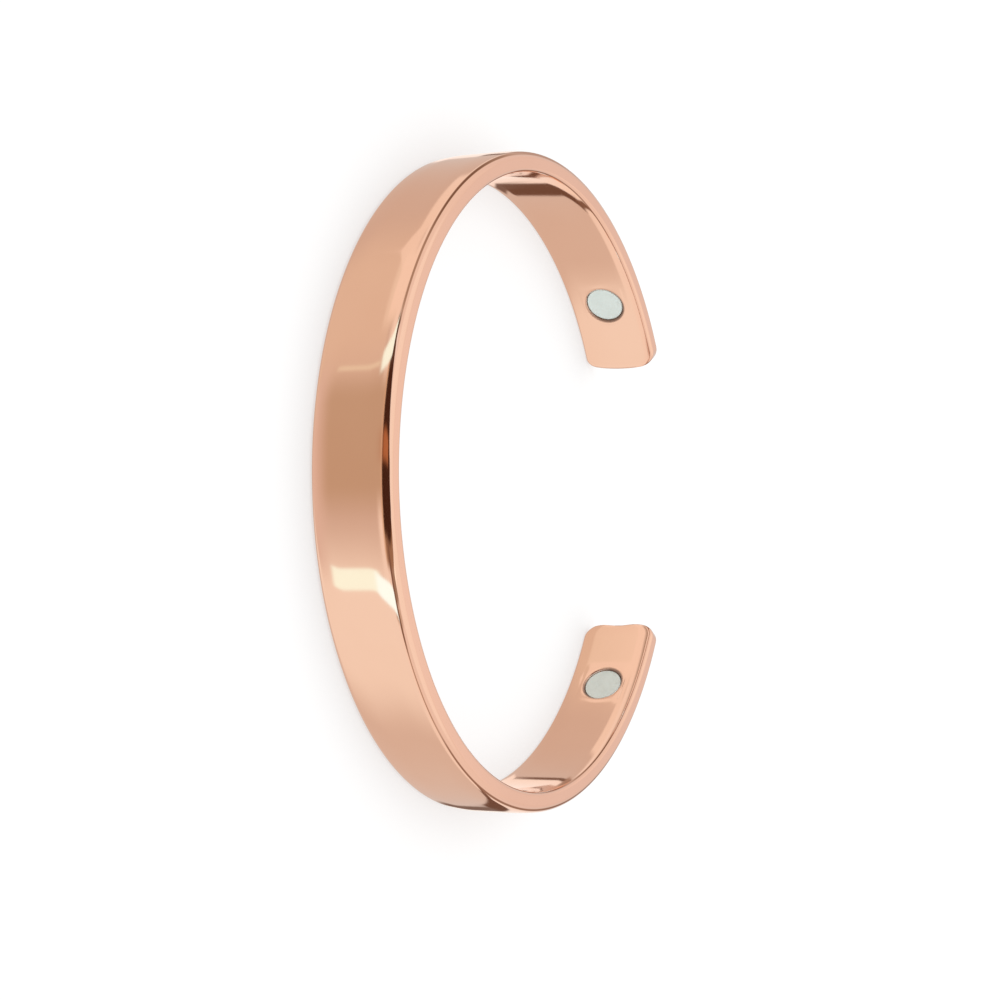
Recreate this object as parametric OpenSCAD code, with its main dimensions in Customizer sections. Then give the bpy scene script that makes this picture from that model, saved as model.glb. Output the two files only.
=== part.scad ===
// An open copper cuff for the wrist, lying on its side, with a round magnet let into the inner face
// near each end. The wrist's axis is +Z, the cuff rests on one side edge at z = 0, its closed back
// is at -X and its gap opens towards +X.

/* [Band] */
// Inner diameter of the round bend
inner_d = 60; // [50:1:72]
// Clear gap between the two ends, at the inner face
gap_w = 27.5; // [20:0.5:34]
// Width of the band, along the wrist
band_w = 8; // [7:0.5:12]
// Thickness of the copper
band_t = 2.2; // [2.1:0.1:3.5]
// Rounding of the two outer edges
outer_edge_r = 0.7; // [0.2:0.05:0.8]
// Rounding of the two inner edges
inner_edge_r = 0.3; // [0.2:0.05:0.8]
// Rounding of the corners at each end, seen from inside the cuff
end_corner_r = 1; // [0.3:0.1:2.5]

/* [Magnets] */
// Diameter of a magnet
magnet_d = 4; // [3:0.5:5]
// Thickness of a magnet
magnet_t = 1.5; // [1:0.1:1.6]
// Rounding of a magnet's rims
magnet_rim_r = 0.15; // [0.05:0.05:0.4]
// Middle of a magnet from the end of the band, along the inner face
magnet_from_end = 8; // [5:0.5:14]
// Depth of a magnet's face below the middle of the inner face
magnet_sunk = 0.1; // [0:0.05:0.25]
// Glue all round a magnet, at its side and under it
glue_gap = 0.05; // [0.03:0.01:0.12]

/* [Hidden] */
$fn = 128;
// How far a cutter stands out of what it cuts
over = 1;

inner_r = inner_d / 2;
outer_r = inner_r + band_t;
// Angles about the axis of the bend, from the middle of the gap
end_angle = asin(gap_w / 2 / inner_r);
magnet_angle = end_angle + magnet_from_end / inner_r * 180 / PI;
// The band is bent a little longer than it stays, and its ends are then cut
band_start = end_angle - over / outer_r * 180 / PI;
// The axis of the bend lies this far from the middle of the cuff's length
bend_x = (outer_r - outer_r * cos(end_angle)) / 2;

pocket_d = magnet_d + 2 * glue_gap;
pocket_depth = magnet_sunk + magnet_t + glue_gap;

// Section of the band, with the distance from the axis of the bend along X and the width along Y
module band_section() {
    inner_round = inner_r + inner_edge_r;
    outer_round = outer_r - outer_edge_r;
    translate([inner_round, 0]) square([outer_round - inner_round, band_w]);
    translate([inner_r, inner_edge_r]) square([inner_edge_r, band_w - 2 * inner_edge_r]);
    translate([outer_round, outer_edge_r]) square([outer_edge_r, band_w - 2 * outer_edge_r]);
    for (y = [inner_edge_r, band_w - inner_edge_r])
        translate([inner_round, y]) circle(inner_edge_r);
    for (y = [outer_edge_r, band_w - outer_edge_r])
        translate([outer_round, y]) circle(outer_edge_r);
}

// Puts a piece at an angle of the bend, with its X outwards and its Y back along the band, away
// from the gap
module on_bend(angle) {
    rotate([0, 0, angle]) children();
}

// What is cut off past the end of an arm, with the two corners that it leaves rounded
module end_cut() {
    translate([inner_r - over, 0, 0]) rotate([90, 0, 90]) linear_extrude(band_t + 2 * over)
        difference() {
            translate([-2 * over, -over]) square([2 * over + end_corner_r, band_w + 2 * over]);
            translate([0, end_corner_r]) square([end_corner_r, band_w - 2 * end_corner_r]);
            for (z = [end_corner_r, band_w - end_corner_r])
                translate([end_corner_r, z]) circle(end_corner_r);
        }
}

// The blind hole for a magnet, drilled from inside the cuff
module pocket() {
    translate([inner_r - over, 0, band_w / 2]) rotate([0, 90, 0])
        cylinder(h = over + pocket_depth, d = pocket_d);
}

// All that is cut from the arm on the side with y above 0
module arm_cuts() {
    on_bend(end_angle) end_cut();
    on_bend(magnet_angle) pocket();
}

module cuff() {
    color("#dda584") translate([bend_x, 0, 0]) difference() {
        rotate_extrude(start = band_start, angle = 360 - 2 * band_start) band_section();
        arm_cuts();
        mirror([0, 1, 0]) arm_cuts();
    }
}

// A plated disc with rounded rims, seated in the pocket on the side with y above 0
module seated_magnet() {
    flat_r = magnet_d / 2 - magnet_rim_r;
    on_bend(magnet_angle) translate([inner_r + magnet_sunk, 0, band_w / 2]) rotate([0, 90, 0])
        rotate_extrude() {
            square([flat_r, magnet_t]);
            translate([0, magnet_rim_r]) square([magnet_d / 2, magnet_t - 2 * magnet_rim_r]);
            for (y = [magnet_rim_r, magnet_t - magnet_rim_r])
                translate([flat_r, y]) circle(magnet_rim_r);
        }
}

module magnet_1() {
    color("#d3d7d1") translate([bend_x, 0, 0]) seated_magnet();
}

module magnet_2() {
    color("#d3d7d1") translate([bend_x, 0, 0]) mirror([0, 1, 0]) seated_magnet();
}

cuff();
magnet_1();
magnet_2();
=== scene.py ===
import math

import bmesh
import bpy
from mathutils import Matrix, Vector, noise


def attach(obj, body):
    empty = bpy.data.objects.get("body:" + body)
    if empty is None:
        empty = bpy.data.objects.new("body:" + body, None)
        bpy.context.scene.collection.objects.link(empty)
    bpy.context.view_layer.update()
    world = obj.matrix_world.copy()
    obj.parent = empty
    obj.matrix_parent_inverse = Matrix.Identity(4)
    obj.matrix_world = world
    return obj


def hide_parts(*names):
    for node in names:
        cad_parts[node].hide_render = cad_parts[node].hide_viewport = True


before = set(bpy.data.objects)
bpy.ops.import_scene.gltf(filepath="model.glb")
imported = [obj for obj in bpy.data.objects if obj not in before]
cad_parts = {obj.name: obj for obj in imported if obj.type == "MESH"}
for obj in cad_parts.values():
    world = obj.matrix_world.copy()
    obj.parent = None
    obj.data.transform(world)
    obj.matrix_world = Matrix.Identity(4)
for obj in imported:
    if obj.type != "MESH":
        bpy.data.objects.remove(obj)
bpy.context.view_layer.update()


# The cuff. A flat bar of solid copper, cut to length, with its corners rounded, rolled cold into an
# open hoop and then tumbled and buffed until it mirrors. Buffing rolls the edges over, so each face
# bends down softly before the edge proper. One blind hole near each end takes a magnet.
mm = 0.001
inner_r = 30.0 * mm
band_t = 2.2 * mm
band_w = 8.0 * mm
gap_w = 27.5 * mm
outer_r = inner_r + band_t
end_angle = math.asin(gap_w / 2 / inner_r)
bend_axis = Vector((outer_r * (1 - math.cos(end_angle)) / 2, 0, 0))
band_length = inner_r * 2 * (math.pi - end_angle)
back_step = 0.5 * mm

# The soft shoulder of each face tips over by this much, and the rounded edge turns the rest
shoulder_tilt = math.radians(8)
inner_shoulder_w = 1.2 * mm
inner_edge_r = 0.4 * mm
outer_shoulder_w = 1.9 * mm
outer_edge_r = 0.7 * mm

# The two ends were filed by hand, so they aren't quite alike. Crown is how far the middle stands
# out, wave how deep the edge dips, and skew how much more was filed off the lower side
ends = {
    "first": {"low_corner_r": 1.15 * mm, "high_corner_r": 1.75 * mm,
              "crown": 0.40 * mm, "wave": 0.0, "skew": 0.10 * mm},
    "last": {"low_corner_r": 1.65 * mm, "high_corner_r": 1.45 * mm,
             "crown": 0.05 * mm, "wave": 0.16 * mm, "skew": 0.25 * mm},
}
# The wave runs twice across the band, shifted by a share of half its width. All filing fades out
# within this length of an end, and the end is eased into the inner and the outer face
wave_shift = 0.05
filed_length = 3.0 * mm
end_ease_r = 0.32 * mm
# Nearer the middle line than this, a corner's rounding fades out
corner_fade_z = 2.7 * mm
corner_steps = 12

# A magnet's seat: the square of the skin that is made anew round the hole, and the hole itself
seat_from_end = 8.0 * mm
seat_half = 2.4 * mm
seat_cells = 16
pocket_r = 2.05 * mm
pocket_depth = 1.65 * mm
lip_r = 0.15 * mm
lip_steps = 5

# How brightly the flat side edges are rubbed, and how far in from each end the rub fades out
side_rub = 0.3
end_rub_length = 0.6 * mm
# Painted shade, a dull brown, reaches this far out from the lip, thinly all round and thicker on
# some sides
shade_reach = 0.1 * mm
lip_shade = 0.5
thin_shade = 0.15
thick_shade = 1.5
# How uneven the faces are: the depth, the waves to the metre, and a shift that keeps all of it to
# one side of the true face
uneven_depth = 0.006 * mm
long_waves = 95
short_waves = 210
uneven_shift = 1.2


def rolled_edge(shoulder_w, edge_r, steps):
    """One half of a face of the band and its rolled edge, from the middle of the face out to the
    side, in so many steps on the flat, the shoulder and the edge. Gives (height across the band,
    depth below the face, how much it is edge) for each point."""
    flat_steps, shoulder_steps, edge_steps = steps
    tilt = shoulder_tilt
    bend_r = shoulder_w / tilt
    edge_start = band_w / 2 - edge_r * (1 - math.sin(tilt))
    flat_end = edge_start - bend_r * math.sin(tilt)
    points = [(flat_end * k / flat_steps, 0.0, 0.0) for k in range(flat_steps)]
    for k in range(shoulder_steps):
        a = tilt * k / shoulder_steps
        points.append((flat_end + bend_r * math.sin(a), bend_r * (1 - math.cos(a)), 0.0))
    drop = bend_r * (1 - math.cos(tilt))
    for k in range(edge_steps + 1):
        a = tilt + (math.pi / 2 - tilt) * k / edge_steps
        z = edge_start + edge_r * (math.sin(a) - math.sin(tilt))
        depth = drop + edge_r * (math.cos(tilt) - math.cos(a))
        points.append((z, depth, math.sin(math.pi * k / edge_steps)))
    return points


def band_section():
    """The closed outline of the band's cross section as (height, depth below the outer face, edge
    share). It starts at the lower side of the magnet's seat and runs up across the inner face."""
    inner = rolled_edge(inner_shoulder_w, inner_edge_r, steps=(1, 6, 8))
    outer = rolled_edge(outer_shoulder_w, outer_edge_r, steps=(4, 8, 12))
    upper = [(z, band_t - depth, edge) for z, depth, edge in inner[1:]]
    inner_drop, outer_drop = inner[-1][1], outer[-1][1]
    for share in (0.1, 0.9):
        depth = band_t - inner_drop + (outer_drop + inner_drop - band_t) * share
        upper.append((band_w / 2, depth, side_rub))
    upper += reversed(outer)
    lower = [(-z, depth, edge) for z, depth, edge in reversed(upper[:-1])]
    cell = 2 * seat_half / seat_cells
    seat = [(-seat_half + cell * k, band_t, 0.0) for k in range(seat_cells + 1)]
    return seat + upper + lower


def stations():
    """Places along the band from one end to the other: close together where the ends round over,
    even where the magnets sit, and wider apart round the back."""
    longest = max(max(end["low_corner_r"], end["high_corner_r"]) for end in ends.values())
    places = [longest * (1 - math.cos(math.pi / 2 * k / corner_steps))
              for k in range(corner_steps + 1)]
    seat_start = seat_from_end - seat_half
    cell = 2 * seat_half / seat_cells
    count = int((seat_start - places[-1]) / cell)
    places += [places[-1] + (seat_start - places[-1]) * k / count for k in range(1, count)]
    places += [seat_start + cell * k for k in range(seat_cells + 1)]
    back = band_length - 2 * places[-1]
    count = int(back / back_step)
    middle = [places[-1] + back * k / count for k in range(1, count)]
    return places + middle + [band_length - s for s in reversed(places)]


def inset(radius, distance):
    """How far a rounding of that radius stands back, at that distance from where it ends."""
    if distance >= radius:
        return 0.0
    return radius - math.sqrt(radius ** 2 - (radius - distance) ** 2)


def filed_back(end, to_end, z):
    """How far a filed end stands back from the square, at that height across the band."""
    fade = max(0.0, 1 - to_end / filed_length) ** 2
    across = 2 * z / band_w
    dip = (1 + math.cos(math.tau * (across + wave_shift))) / 2
    return (end["crown"] * across ** 2 + end["wave"] * dip + end["skew"] * (1 - across) / 2) * fade


def on_bend(s, depth, z):
    """The point at length s along the band, that far below its outer face and that far off its
    middle line."""
    angle = end_angle + s / inner_r
    r = outer_r - depth
    return bend_axis + Vector((r * math.cos(angle), r * math.sin(angle), band_w / 2 + z))


def make_cuff():
    section = band_section()
    places = stations()
    mesh = bmesh.new()
    run = mesh.verts.layers.float_vector.new("band_run")
    rubbed = mesh.verts.layers.float.new("rubbed")
    # seam: how much painted shade lies at each point round the magnets' holes
    seam = mesh.verts.layers.float.new("seam")
    rings = []
    for s in places:
        to_end = min(s, band_length - s)
        at_first = s < band_length / 2
        end = ends["first" if at_first else "last"]
        eased = inset(end_ease_r, to_end)
        end_rub = max(0.0, 1 - to_end / end_rub_length)
        ring = []
        for z, depth, edge in section:
            corner_r = end["high_corner_r"] if z > 0 else end["low_corner_r"]
            reach = min(1.0, abs(z) / corner_fade_z)
            z -= math.copysign(inset(corner_r, to_end) * reach, z)
            filed = filed_back(end, to_end, z)
            place = s + filed if at_first else s - filed
            v = mesh.verts.new(on_bend(place, eased + depth * (1 - 2 * eased / band_t), z))
            v[run] = (place, z, depth)
            v[rubbed] = max(edge, end_rub)
            ring.append(v)
        rings.append(ring)

    # The skin, without the cells that each magnet's seat takes
    first_seat = min(range(len(places)), key=lambda k: abs(places[k] - seat_from_end + seat_half))
    last_seat = len(places) - 1 - first_seat - seat_cells
    for i in range(len(rings) - 1):
        in_seat = any(seat <= i < seat + seat_cells for seat in (first_seat, last_seat))
        for j in range(len(section)):
            if in_seat and j < seat_cells:
                continue
            k = (j + 1) % len(section)
            mesh.faces.new((rings[i][j], rings[i][k], rings[i + 1][k], rings[i + 1][j]))
    mesh.faces.new(list(reversed(rings[0])))
    mesh.faces.new(rings[-1])

    # Each seat: rings that pass from the square of left-out cells to the round lip, and then down
    # the wall of the blind hole to its floor. Painted shade lies thickest on one side of the first
    # seat, and on two opposite sides of the last
    for start, shaded_turn, shaded_sides in ((first_seat, 135, 1), (last_seat, 45, 2)):
        n = seat_cells
        border = [rings[start + k][0] for k in range(n)]
        border += [rings[start + n][k] for k in range(n)]
        border += [rings[start + n - k][n] for k in range(n)]
        border += [rings[start][n - k] for k in range(n)]
        middle = (places[start] + places[start + n]) / 2
        angle = end_angle + middle / inner_r
        outward = Vector((math.cos(angle), math.sin(angle), 0))
        along = Vector((-math.sin(angle), math.cos(angle), 0))
        rim_r = pocket_r + lip_r

        def seat_vert(corner, radius, sunk, blend, painted_shade):
            s, z = corner[run][0] - middle, corner[run][1]
            turn = math.atan2(z, s)
            s += (radius * math.cos(turn) - s) * blend
            z += (radius * math.sin(turn) - z) * blend
            r = math.sqrt(inner_r ** 2 - s ** 2) + sunk
            v = mesh.verts.new(bend_axis + outward * r + along * s + Vector((0, 0, band_w / 2 + z)))
            v[run] = (middle + s, z, band_t)
            # The seam layer carries painted shade, thin all round and thicker towards the shaded
            # sides
            side = (1 + math.cos(shaded_sides * (turn - math.radians(shaded_turn)))) / 2
            v[seam] = min(1.0, painted_shade * (thin_shade + thick_shade * side))
            return v

        # Each ring's radius, depth, share of the way from square to round, and painted shade
        levels = [(rim_r + shade_reach, 0.0, blend, 0.0) for blend in (0.4, 0.8, 1.0)]
        levels.append((rim_r, 0.0, 1.0, lip_shade))
        for k in range(1, lip_steps + 1):
            a = math.pi / 2 * k / lip_steps
            painted_shade = lip_shade + (1 - lip_shade) * k / lip_steps
            levels.append((rim_r - lip_r * math.sin(a), lip_r * (1 - math.cos(a)), 1.0, painted_shade))
        levels.append((pocket_r, pocket_depth * 0.5, 1.0, 1.0))
        levels.append((pocket_r, pocket_depth, 1.0, 1.0))
        previous = border
        for radius, sunk, blend, painted_shade in levels:
            level = [seat_vert(corner, radius, sunk, blend, painted_shade) for corner in border]
            for k in range(len(level)):
                m = (k + 1) % len(level)
                mesh.faces.new((previous[k], previous[m], level[m], level[k]))
            previous = level
        mesh.faces.new(previous)

    # Rolling and hand buffing leave the faces very slightly uneven. They lie just under their true
    # size, and the collar between each hole's lip and the skin lies just over it
    mesh.normal_update()
    for v in mesh.verts:
        if v[seam] == 0:
            uneven = noise.noise(v.co * long_waves) + 0.5 * noise.noise(v.co * short_waves)
            v.co += v.normal * (uneven - uneven_shift) * uneven_depth
    return finished_object("copper_cuff", mesh)


def finished_object(name, mesh):
    """Turns a mesh that is being built into a smooth-shaded object in the scene."""
    bmesh.ops.recalc_face_normals(mesh, faces=mesh.faces)
    for face in mesh.faces:
        face.smooth = True
    data = bpy.data.meshes.new(name)
    mesh.to_mesh(data)
    mesh.free()
    piece = bpy.data.objects.new(name, data)
    bpy.context.scene.collection.objects.link(piece)
    return piece


def new_material(name):
    """A node material. Gives it, its node tree and its shader."""
    material = bpy.data.materials.new(name)
    material.use_nodes = True
    return material, material.node_tree, material.node_tree.nodes["Principled BSDF"]


def feed(tree, socket, value):
    """Gives a socket a plain value, or links another node's output to it."""
    if isinstance(value, bpy.types.NodeSocket):
        tree.links.new(value, socket)
    else:
        socket.default_value = value


def add_node(tree, kind, inputs=(), **settings):
    """A node with those settings, and with plain values or other nodes' outputs on its inputs."""
    node = tree.nodes.new(kind)
    for name, value in settings.items():
        setattr(node, name, value)
    for name, value in dict(inputs).items():
        feed(tree, node.inputs[name], value)
    return node


def maths(tree, operation, *values):
    """The output of a Math node on those numbers and outputs."""
    return add_node(tree, "ShaderNodeMath", dict(enumerate(values)), operation=operation).outputs[0]


def mixed(tree, share, first, second):
    """The output of a node that mixes two colours."""
    inputs = {"Factor": share, "A": first, "B": second}
    return add_node(tree, "ShaderNodeMix", inputs, data_type="RGBA").outputs["Result"]


def ranged(tree, value, inputs=(), **settings):
    """The output of a Map Range node on that value."""
    inputs = {"Value": value, **dict(inputs)}
    return add_node(tree, "ShaderNodeMapRange", inputs, **settings).outputs["Result"]


def buffing_lines():
    """Node group: the fine lines that a buffing wheel or a rub with cloth leaves on a metal, and
    soft patches of wear. Lines Per Metre is how closely they lie in each direction."""
    group = bpy.data.node_groups.new("buffing_lines", "ShaderNodeTree")
    face = group.interface
    face.new_socket("Position", in_out="INPUT", socket_type="NodeSocketVector")
    face.new_socket("Lines Per Metre", in_out="INPUT", socket_type="NodeSocketVector")
    face.new_socket("Lines", in_out="OUTPUT", socket_type="NodeSocketFloat")
    face.new_socket("Wear", in_out="OUTPUT", socket_type="NodeSocketFloat")
    source = group.nodes.new("NodeGroupInput").outputs
    result = group.nodes.new("NodeGroupOutput").inputs
    factors = {0: source["Position"], 1: source["Lines Per Metre"]}
    stretched = add_node(group, "ShaderNodeVectorMath", factors, operation="MULTIPLY").outputs[0]
    fine = add_node(group, "ShaderNodeTexNoise",
                    {"Vector": stretched, "Scale": 1.0, "Detail": 4.0, "Roughness": 0.65})
    patches = add_node(group, "ShaderNodeTexNoise",
                       {"Vector": source["Position"], "Scale": 160.0, "Detail": 3.0})
    lines = ranged(group, fine.outputs["Fac"], {"From Min": 0.3, "From Max": 0.7})
    feed(group, result["Lines"], lines)
    feed(group, result["Wear"], patches.outputs["Fac"])
    return group


polish = buffing_lines()

clean_copper = (0.945, 0.592, 0.432, 1)
tarnished_copper = (0.86, 0.49, 0.33, 1)
rubbed_copper = (0.965, 0.62, 0.46, 1)
painted_pocket_shade = (0.26, 0.145, 0.095, 1)
line_roughness = 0.012
pocket_shade_roughness = 0.6


def polished_copper():
    """Buffed copper: a pink-gold mirror with a breath of brown tarnish in soft patches, hairlines
    along the band, brighter rubbed edges, and painted shade: a dull brown that is no mirror, on the
    lip and down the wall of each magnet's hole."""
    material, tree, shader = new_material("polished_copper")
    run = add_node(tree, "ShaderNodeAttribute", attribute_name="band_run").outputs["Vector"]
    rubbed = add_node(tree, "ShaderNodeAttribute", attribute_name="rubbed").outputs["Fac"]
    seam = add_node(tree, "ShaderNodeAttribute", attribute_name="seam").outputs["Fac"]
    buffed = {"Position": run, "Lines Per Metre": (260.0, 14000.0, 9000.0)}
    hairlines = add_node(tree, "ShaderNodeGroup", buffed, node_tree=polish).outputs

    tarnish = add_node(tree, "ShaderNodeTexNoise",
                       {"Vector": run, "Scale": 70.0, "Detail": 3.0, "Roughness": 0.5})
    film = ranged(tree, tarnish.outputs["Fac"], {"From Min": 0.4, "From Max": 0.75, "To Max": 0.35})
    colour = mixed(tree, film, clean_copper, tarnished_copper)
    colour = mixed(tree, rubbed, colour, rubbed_copper)
    # Painted shade: the seam mask lays a dull, rough brown that is no mirror on each magnet's lip
    # and hole wall
    colour = mixed(tree, seam, colour, painted_pocket_shade)
    feed(tree, shader.inputs["Base Color"], colour)
    feed(tree, shader.inputs["Metallic"], maths(tree, "SUBTRACT", 1.0, seam))

    rough = ranged(tree, hairlines["Wear"], {"To Min": 0.04, "To Max": 0.075})
    rough = maths(tree, "MULTIPLY_ADD", hairlines["Lines"], line_roughness, rough)
    rough = maths(tree, "MULTIPLY_ADD", seam, pocket_shade_roughness, rough)
    feed(tree, shader.inputs["Roughness"], rough)

    relief = add_node(tree, "ShaderNodeBump",
                      {"Strength": 0.05, "Distance": 0.005 * mm, "Height": hairlines["Lines"]})
    feed(tree, shader.inputs["Normal"], relief.outputs["Normal"])
    return material


cuff = make_cuff()
cuff.data.materials.append(polished_copper())
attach(cuff, "root")
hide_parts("cuff")


# The two magnets. Stock discs of sintered magnet, plated with nickel that was left satin, with
# slightly rounded rims. Each is glued into its blind hole, just below the copper.
magnet_r = 2.0 * mm
magnet_t = 1.5 * mm
magnet_rim_r = 0.15 * mm
magnet_rim_steps = 8
magnet_sunk = 0.1 * mm
magnet_sides = 96
magnet_face_shares = (0.25, 0.5, 0.75, 0.88)
magnet_angle = end_angle + seat_from_end / inner_r

bright_nickel = (0.89, 0.967, 0.938, 1)
dull_nickel = (0.837, 0.914, 0.885, 1)


def make_magnet(name, angle):
    """A disc turned about its own axis, with its face towards the axis of the bend."""
    outline = [(magnet_r * share, 0.0) for share in magnet_face_shares]
    for k in range(magnet_rim_steps + 1):
        a = math.pi / 2 * k / magnet_rim_steps
        rim = magnet_r - magnet_rim_r * (1 - math.sin(a))
        outline.append((rim, magnet_rim_r * (1 - math.cos(a))))
    outline += [(r, magnet_t - depth) for r, depth in reversed(outline)]
    outward = Vector((math.cos(angle), math.sin(angle), 0))
    along = Vector((-math.sin(angle), math.cos(angle), 0))
    face_middle = bend_axis + outward * (inner_r + magnet_sunk) + Vector((0, 0, band_w / 2))
    mesh = bmesh.new()
    place = mesh.verts.layers.float_vector.new("disc_place")
    rings = []
    for r, depth in outline:
        ring = []
        for k in range(magnet_sides):
            turn = math.tau * k / magnet_sides
            x, y = r * math.cos(turn), r * math.sin(turn)
            v = mesh.verts.new(face_middle + along * x + Vector((0, 0, y)) + outward * depth)
            v[place] = (x, y, depth)
            ring.append(v)
        rings.append(ring)
    for a, b in zip(rings, rings[1:]):
        for k in range(magnet_sides):
            m = (k + 1) % magnet_sides
            mesh.faces.new((a[k], a[m], b[m], b[k]))
    mesh.faces.new(list(reversed(rings[0])))
    mesh.faces.new(rings[-1])
    return finished_object(name, mesh)


def satin_nickel():
    """Satin nickel plate: cool light grey, with short rubbed lines and a few dull spots."""
    material, tree, shader = new_material("satin_nickel")
    shader.inputs["Metallic"].default_value = 1.0
    place = add_node(tree, "ShaderNodeAttribute", attribute_name="disc_place").outputs["Vector"]
    rubbed = {"Position": place, "Lines Per Metre": (2600.0, 15000.0, 2600.0)}
    lines = add_node(tree, "ShaderNodeGroup", rubbed, node_tree=polish).outputs["Lines"]
    cloud = add_node(tree, "ShaderNodeTexNoise", {"Vector": place, "Scale": 900.0, "Detail": 4.0})
    spots = ranged(tree, cloud.outputs["Fac"], {"From Min": 0.45, "From Max": 0.75})
    feed(tree, shader.inputs["Base Color"], mixed(tree, spots, bright_nickel, dull_nickel))
    feed(tree, shader.inputs["Roughness"], ranged(tree, lines, {"To Min": 0.48, "To Max": 0.62}))
    relief = add_node(tree, "ShaderNodeBump",
                      {"Strength": 0.25, "Distance": 0.02 * mm, "Height": lines})
    feed(tree, shader.inputs["Normal"], relief.outputs["Normal"])
    return material


nickel = satin_nickel()
for number, angle in ((1, magnet_angle), (2, -magnet_angle)):
    magnet = make_magnet(f"plated_magnet_{number}", angle)
    magnet.data.materials.append(nickel)
    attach(magnet, "root")
    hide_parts(f"magnet_{number}")


# The studio: a pale table, and a tent of white cloth round and over the cuff. The tent is the
# world's own light, made of soft-edged panels, so that polished copper has something to mirror: a
# white wall, brighter cloths in front of the lamps, and the dark doorway that the camera looks
# through. The table isn't mirrored, so the copper shows the tent down to below the horizon.
bpy.ops.mesh.primitive_plane_add(size=6)
table = bpy.context.object
table.name = "table"
paper, _, paper_shader = new_material("pale_table")
paper_shader.inputs["Base Color"].default_value = (0.4, 0.4, 0.4, 1)
paper_shader.inputs["Emission Color"].default_value = (1, 1, 1, 1)
paper_shader.inputs["Emission Strength"].default_value = 0.56
paper_shader.inputs["Roughness"].default_value = 0.9
paper_shader.inputs["Specular IOR Level"].default_value = 0.0
table.data.materials.append(paper)
table.visible_glossy = False


def tent_panel():
    """Node group: lays one soft-edged panel of the tent over what is already there. Angles are in
    radians. Lean moves its middle, and Flare widens it, with each radian above its own height."""
    group = bpy.data.node_groups.new("tent_panel", "ShaderNodeTree")
    face = group.interface
    face.new_socket("Under", in_out="INPUT", socket_type="NodeSocketColor")
    face.new_socket("Panel", in_out="INPUT", socket_type="NodeSocketColor")
    face.new_socket("Direction", in_out="INPUT", socket_type="NodeSocketVector")
    for name in ("Turn", "Half Width", "Width Blur", "Height", "Half Height", "Height Blur",
                 "Lean", "Flare"):
        face.new_socket(name, in_out="INPUT", socket_type="NodeSocketFloat")
    face.new_socket("Color", in_out="OUTPUT", socket_type="NodeSocketColor")
    source = group.nodes.new("NodeGroupInput").outputs
    result = group.nodes.new("NodeGroupOutput").inputs

    def soft_inside(distance, half, blur):
        limits = {"From Min": maths(group, "SUBTRACT", half, blur),
                  "From Max": maths(group, "ADD", half, blur), "To Min": 1.0, "To Max": 0.0}
        off = maths(group, "ABSOLUTE", distance)
        return ranged(group, off, limits, interpolation_type="SMOOTHSTEP")

    turned = add_node(group, "ShaderNodeVectorRotate",
                      {"Vector": source["Direction"], "Angle": source["Turn"]},
                      rotation_type="Z_AXIS", invert=True)
    parts = add_node(group, "ShaderNodeSeparateXYZ", {"Vector": turned.outputs["Vector"]}).outputs
    side = maths(group, "ARCTAN2", parts["Y"], parts["X"])
    rise = maths(group, "SUBTRACT", maths(group, "ARCSINE", parts["Z"]), source["Height"])
    side = maths(group, "SUBTRACT", side, maths(group, "MULTIPLY", rise, source["Lean"]))
    half = maths(group, "MULTIPLY_ADD", rise, source["Flare"], source["Half Width"])
    across = soft_inside(side, half, source["Width Blur"])
    upright = soft_inside(rise, source["Half Height"], source["Height Blur"])
    inside = maths(group, "MULTIPLY", across, upright)
    feed(group, result["Color"], mixed(group, inside, source["Under"], source["Panel"]))
    return group


world = bpy.data.worlds.new("tent")
world.use_nodes = True
bpy.context.scene.world = world
sky = world.node_tree
direction = sky.nodes.new("ShaderNodeTexCoord").outputs["Generated"]
panel_group = tent_panel()
bare_tent = add_node(sky, "ShaderNodeRGB")
bare_tent.outputs[0].default_value = (0.97, 0.95, 0.93, 1)
tent_light = bare_tent.outputs[0]


def hang(name, at, half, blur, light, lean=0.0, flare=0.0):
    """Hangs one panel in the tent: where its middle is, in degrees round the cuff from +X and above
    the horizon, half its width and height, how soft its sides and its ends are, and its light."""
    global tent_light
    values = {"Under": tent_light, "Panel": (*light, 1), "Direction": direction,
              "Turn": math.radians(at[0]), "Height": math.radians(at[1]),
              "Half Width": math.radians(half[0]), "Half Height": math.radians(half[1]),
              "Width Blur": math.radians(blur[0]), "Height Blur": math.radians(blur[1]),
              "Lean": lean, "Flare": flare}
    panel = add_node(sky, "ShaderNodeGroup", values, node_tree=panel_group, name=name)
    tent_light = panel.outputs["Color"]


# The upright wall, dimmer at the height of the horizon, where the table's edge shows
hang("middle_wall", (0, 27), (200, 16), (10, 6), (0.87, 0.81, 0.79))
hang("far_wall", (5, 12), (45, 16), (20, 3), (0.82, 0.755, 0.75))
hang("near_sky", (0, 33), (10, 6), (6, 3.5), (0.94, 0.875, 0.86))
hang("far_corner", (5, 0), (32, 19), (8, 4), (0.74, 0.73, 0.74))
hang("horizon", (84, 0), (46, 12.5), (9, 3), (0.42, 0.33, 0.27))
hang("low_horizon", (72, 2), (20, 9), (12, 4), (0.21, 0.135, 0.095))
hang("far_horizon", (308, 3), (38, 9), (12, 3.5), (0.33, 0.23, 0.18))
hang("near_horizon", (30, -4), (9, 14), (6, 4), (0.50, 0.40, 0.36))
# The cloth on the ground, from the dim back round to the front
hang("ground", (0, -54), (200, 35.5), (10, 1.2), (0.69, 0.62, 0.575))
hang("right_ground", (285, -54), (45, 35.5), (20, 1.2), (0.74, 0.69, 0.655))
hang("left_ground", (118, -54), (28, 33.5), (16, 1.2), (0.79, 0.72, 0.645))
hang("back_ground", (169, -54), (21, 40.5), (7, 1.0), (0.59, 0.50, 0.40))
hang("under_lamp", (236, -52), (30, 38), (15, 2), (0.96, 0.98, 0.97))
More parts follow.
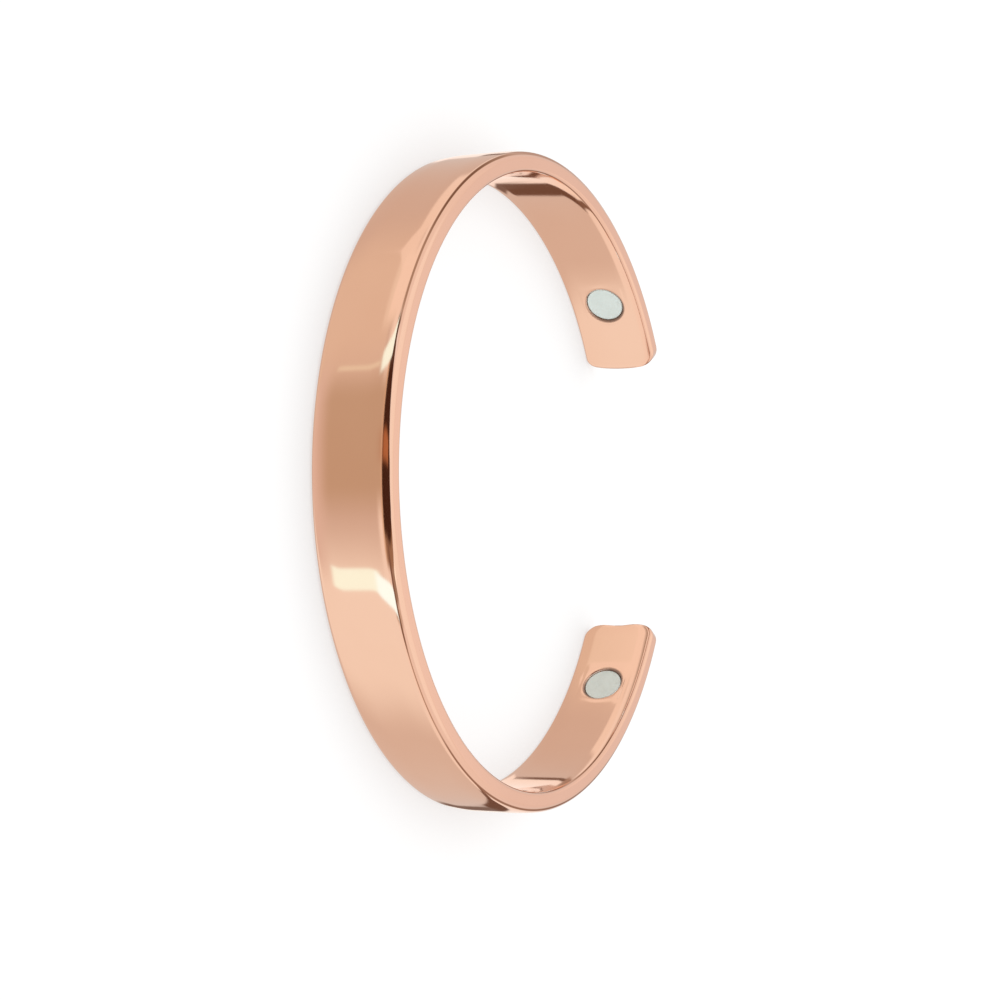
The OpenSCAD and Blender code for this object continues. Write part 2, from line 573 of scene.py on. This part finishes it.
# Brighter folds in it
hang("front_fold", (178, -66), (38, 25), (8, 8), (0.78, 0.70, 0.68))
hang("end_ground", (116, -22), (14, 3.8), (4, 1.2), (0.88, 0.84, 0.77))
hang("left_fold", (98.5, -24), (8.2, 4.9), (1.2, 0.5), (0.95, 0.90, 0.85), lean=0.24, flare=1.9)
hang("long_fold", (74, -20.2), (17, 2.8), (3, 0.5), (0.95, 0.90, 0.85))
hang("end_fold", (114, -18.4), (13, 4.8), (4, 0.5), (0.98, 0.93, 0.88))
hang("far_lamp", (3.5, -25.6), (24.5, 3.1), (1.2, 0.5), (1.04, 0.98, 0.92))
hang("far_side", (333, -20), (12, 5.5), (2, 1.5), (1.0, 0.93, 0.87), lean=-1.5)
# Dark seams and gaps between the cloths
hang("seam", (31, -22), (1.6, 4), (0.7, 0.5), (0.20, 0.125, 0.09), lean=0.9)
hang("near_seam", (24, -17.6), (11, 4.6), (2, 0.7), (0.42, 0.30, 0.235))
hang("gap", (323.7, -22.3), (5.9, 4.2), (1.0, 0.5), (0.17, 0.095, 0.065), lean=-3.5, flare=-0.4)
hang("gap_corner", (340.5, -27.6), (5, 1.8), (1.5, 0.8), (0.22, 0.15, 0.12))
hang("gap_tail", (306.5, -11.5), (3.2, 8), (1.0, 1.5), (0.24, 0.15, 0.11), lean=-0.75)
hang("sliver", (342, 3), (8, 6), (2, 2), (0.28, 0.19, 0.15))
# The doorway that the camera looks through, with a warm lamp in the room behind it
hang("door_cloth", (205.5, 30), (8.5, 44), (3, 2), (0.34, 0.22, 0.145), lean=0.1)
hang("doorway", (175, 33), (29, 46.5), (2.5, 0.8), (0.06, 0.024, 0.014), lean=0.25, flare=-0.15)
hang("warm_lamp", (171, 20), (5.0, 33), (2.5, 8), (0.45, 0.19, 0.085))
hang("right_jamb", (227, 10), (3.5, 24), (1.5, 1.0), (0.62, 0.54, 0.47), lean=0.1)
hang("door_sill", (174, -14.2), (34, 1.0), (4, 0.7), (0.72, 0.56, 0.42))
# The lit cloths at both sides of the doorway, and the dim wall beside them
hang("door_edge_top", (220, 50), (3.0, 10), (1.5, 4), (1.15, 1.2, 1.15), lean=0.12)
hang("door_edge_shade", (218, 25), (6, 14), (2, 3), (0.36, 0.28, 0.22), lean=0.12)
hang("side_horizon", (250, 1), (20, 7), (6, 3), (0.50, 0.38, 0.31))
hang("low_side_horizon", (219, 2), (18, 10), (5, 3), (0.24, 0.15, 0.11))
hang("door_edge", (215.5, -30), (3.8, 7), (0.7, 2.5), (1.05, 1.48, 1.52))
hang("door_edge_turn", (219.5, -16), (4.6, 10), (0.8, 2.4), (1.08, 1.66, 1.95),
     lean=0.35, flare=0.08)
hang("other_edge", (143.5, -27), (0.8, 5), (0.8, 1.6), (0.87, 0.90, 0.79))
hang("door_horizon", (137, 0), (8, 11), (3, 3), (0.12, 0.07, 0.05))
hang("other_edge_turn", (138.6, -15.5), (5.6, 5.5), (1.2, 1.2), (1.05, 1.50, 1.58),
     lean=-0.9, flare=0.4)
hang("other_edge_top", (136, 22), (2.6, 14), (1.2, 3), (0.95, 0.97, 1.02), lean=0.15)

# Only polished metal sees the tent's panels. All else, the camera too, sees one even pale cloth.
# Behind the cuff, what is mirrored a second time is a cool cloth, as the copper has warmed it once
path = sky.nodes.new("ShaderNodeLightPath").outputs
mirrored_again = maths(sky, "GREATER_THAN", path["Glossy Depth"], 1.5)
towards_gap = add_node(sky, "ShaderNodeSeparateXYZ", {"Vector": direction}).outputs["X"]
behind = ranged(sky, towards_gap, {"From Min": 0.1, "From Max": -0.35})
cool_share = maths(sky, "MULTIPLY", mirrored_again, behind)
cool_cloth = (1.0, 1.6, 2.2, 1)
seen = mixed(sky, cool_share, tent_light, cool_cloth)
tent = add_node(sky, "ShaderNodeBackground", {"Color": seen})
plain = sky.nodes["Background"]
plain.inputs["Color"].default_value = (0.97, 0.97, 0.97, 1)
choice = add_node(sky, "ShaderNodeMixShader", {"Fac": path["Is Glossy Ray"]})
feed(sky, choice.inputs[1], plain.outputs["Background"])
feed(sky, choice.inputs[2], tent.outputs["Background"])
feed(sky, sky.nodes["World Output"].inputs["Surface"], choice.outputs["Shader"])

# A wide overhead lamp lights the table evenly and gives the soft shadow under the cuff
softbox = bpy.data.objects.new("softbox", bpy.data.lights.new("softbox", "AREA"))
softbox.data.size = 1.2
softbox.data.energy = 4.0
softbox.location = (0.1, 0, 1.0)
softbox.visible_glossy = False
bpy.context.scene.collection.objects.link(softbox)

# The camera looks down from behind the closed back, over the near edge and across to the two ends.
# It lies on its side, so that the picture stands the cuff up with the gap to the right.
camera = bpy.data.objects.new("camera", bpy.data.cameras.new("camera"))
camera_from = math.radians(183.676)
camera_above = math.radians(26.047)
camera_roll = math.radians(-0.929)
camera_away = 0.225
towards_camera = Vector((math.cos(camera_from) * math.cos(camera_above),
                         math.sin(camera_from) * math.cos(camera_above), math.sin(camera_above)))
picture_up = Vector((math.sin(camera_roll), math.cos(camera_roll), 0))
right = (-towards_camera).cross(picture_up).normalized()
up = towards_camera.cross(right)
turn = Matrix((right, up, towards_camera)).transposed().to_4x4()
place = bend_axis + Vector((0, 0, band_w / 2)) + towards_camera * camera_away
camera.matrix_world = Matrix.Translation(place) @ turn
camera.data.sensor_width = 36
camera.data.lens = 82.28
camera.data.shift_x = -0.0129
camera.data.shift_y = -0.01775
camera.data.clip_start = 0.01
bpy.context.scene.collection.objects.link(camera)
bpy.context.scene.camera = camera
bpy.context.scene.view_settings.view_transform = "Standard"
